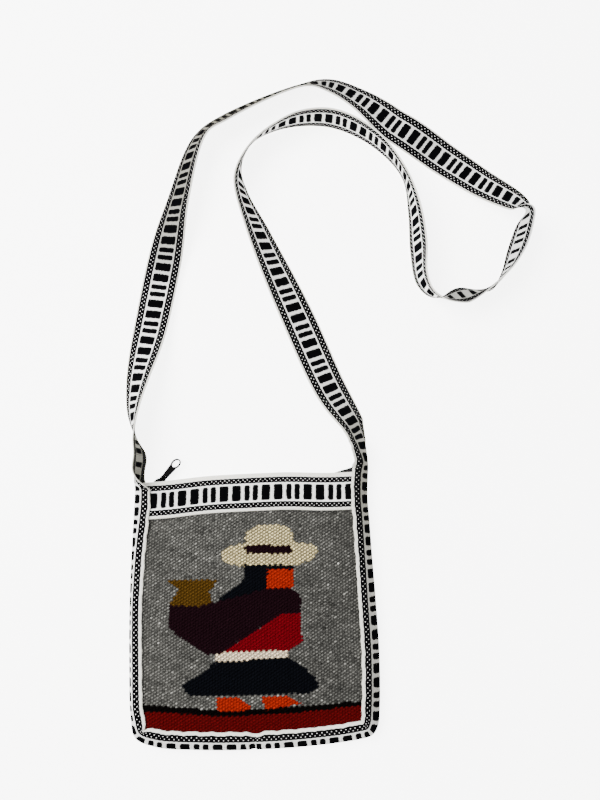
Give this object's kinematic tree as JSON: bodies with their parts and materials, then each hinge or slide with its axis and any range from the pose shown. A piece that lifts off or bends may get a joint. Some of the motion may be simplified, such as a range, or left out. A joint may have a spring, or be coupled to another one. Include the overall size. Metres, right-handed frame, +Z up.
{
  "type": "woven crossbody bag",
  "caption": "Small woven wool crossbody bag lying on its back, with a grey tapestry front and figure, a black and white band as edge and strap, and a top zip with a ring pull.",
  "frame": {"origin": "on the surface that the bag lies on, under the middle of its back panel", "axes": "+Z up, out of the front panel; +Y from the bottom of the bag to its zip; +X to the right as the front is looked at"},
  "size_m": [0.3584, 0.5932, 0.032],
  "materials": {
    "wool": "heather grey wool tapestry",
    "band": "woven black and white band",
    "zip_tape": "black woven tape",
    "zip_coil": "black coil",
    "zip_metal": "black painted, worn at the edges"
  },
  "bodies": {
    "bag": {"front_panel": "wool", "back_panel": "wool", "front_top_band": "band", "back_top_band": "band", "gusset_band": "band", "strap": "band", "zip_tape_front": "zip_tape", "zip_tape_back": "zip_tape", "zip_chain": "zip_coil", "zip_slider": "zip_metal"},
    "zip_pull": {"zip_pull": "zip_metal"}
  },
  "joints": [
    {"name": "zip_pull_hinge", "type": "hinge", "parent": "bag", "child": "zip_pull", "pos_m": [-0.0803, 0.10678, 0.0064], "axis": [0.7119, -0.4354, 0.551], "range_deg": [0, 80]}
  ]
}
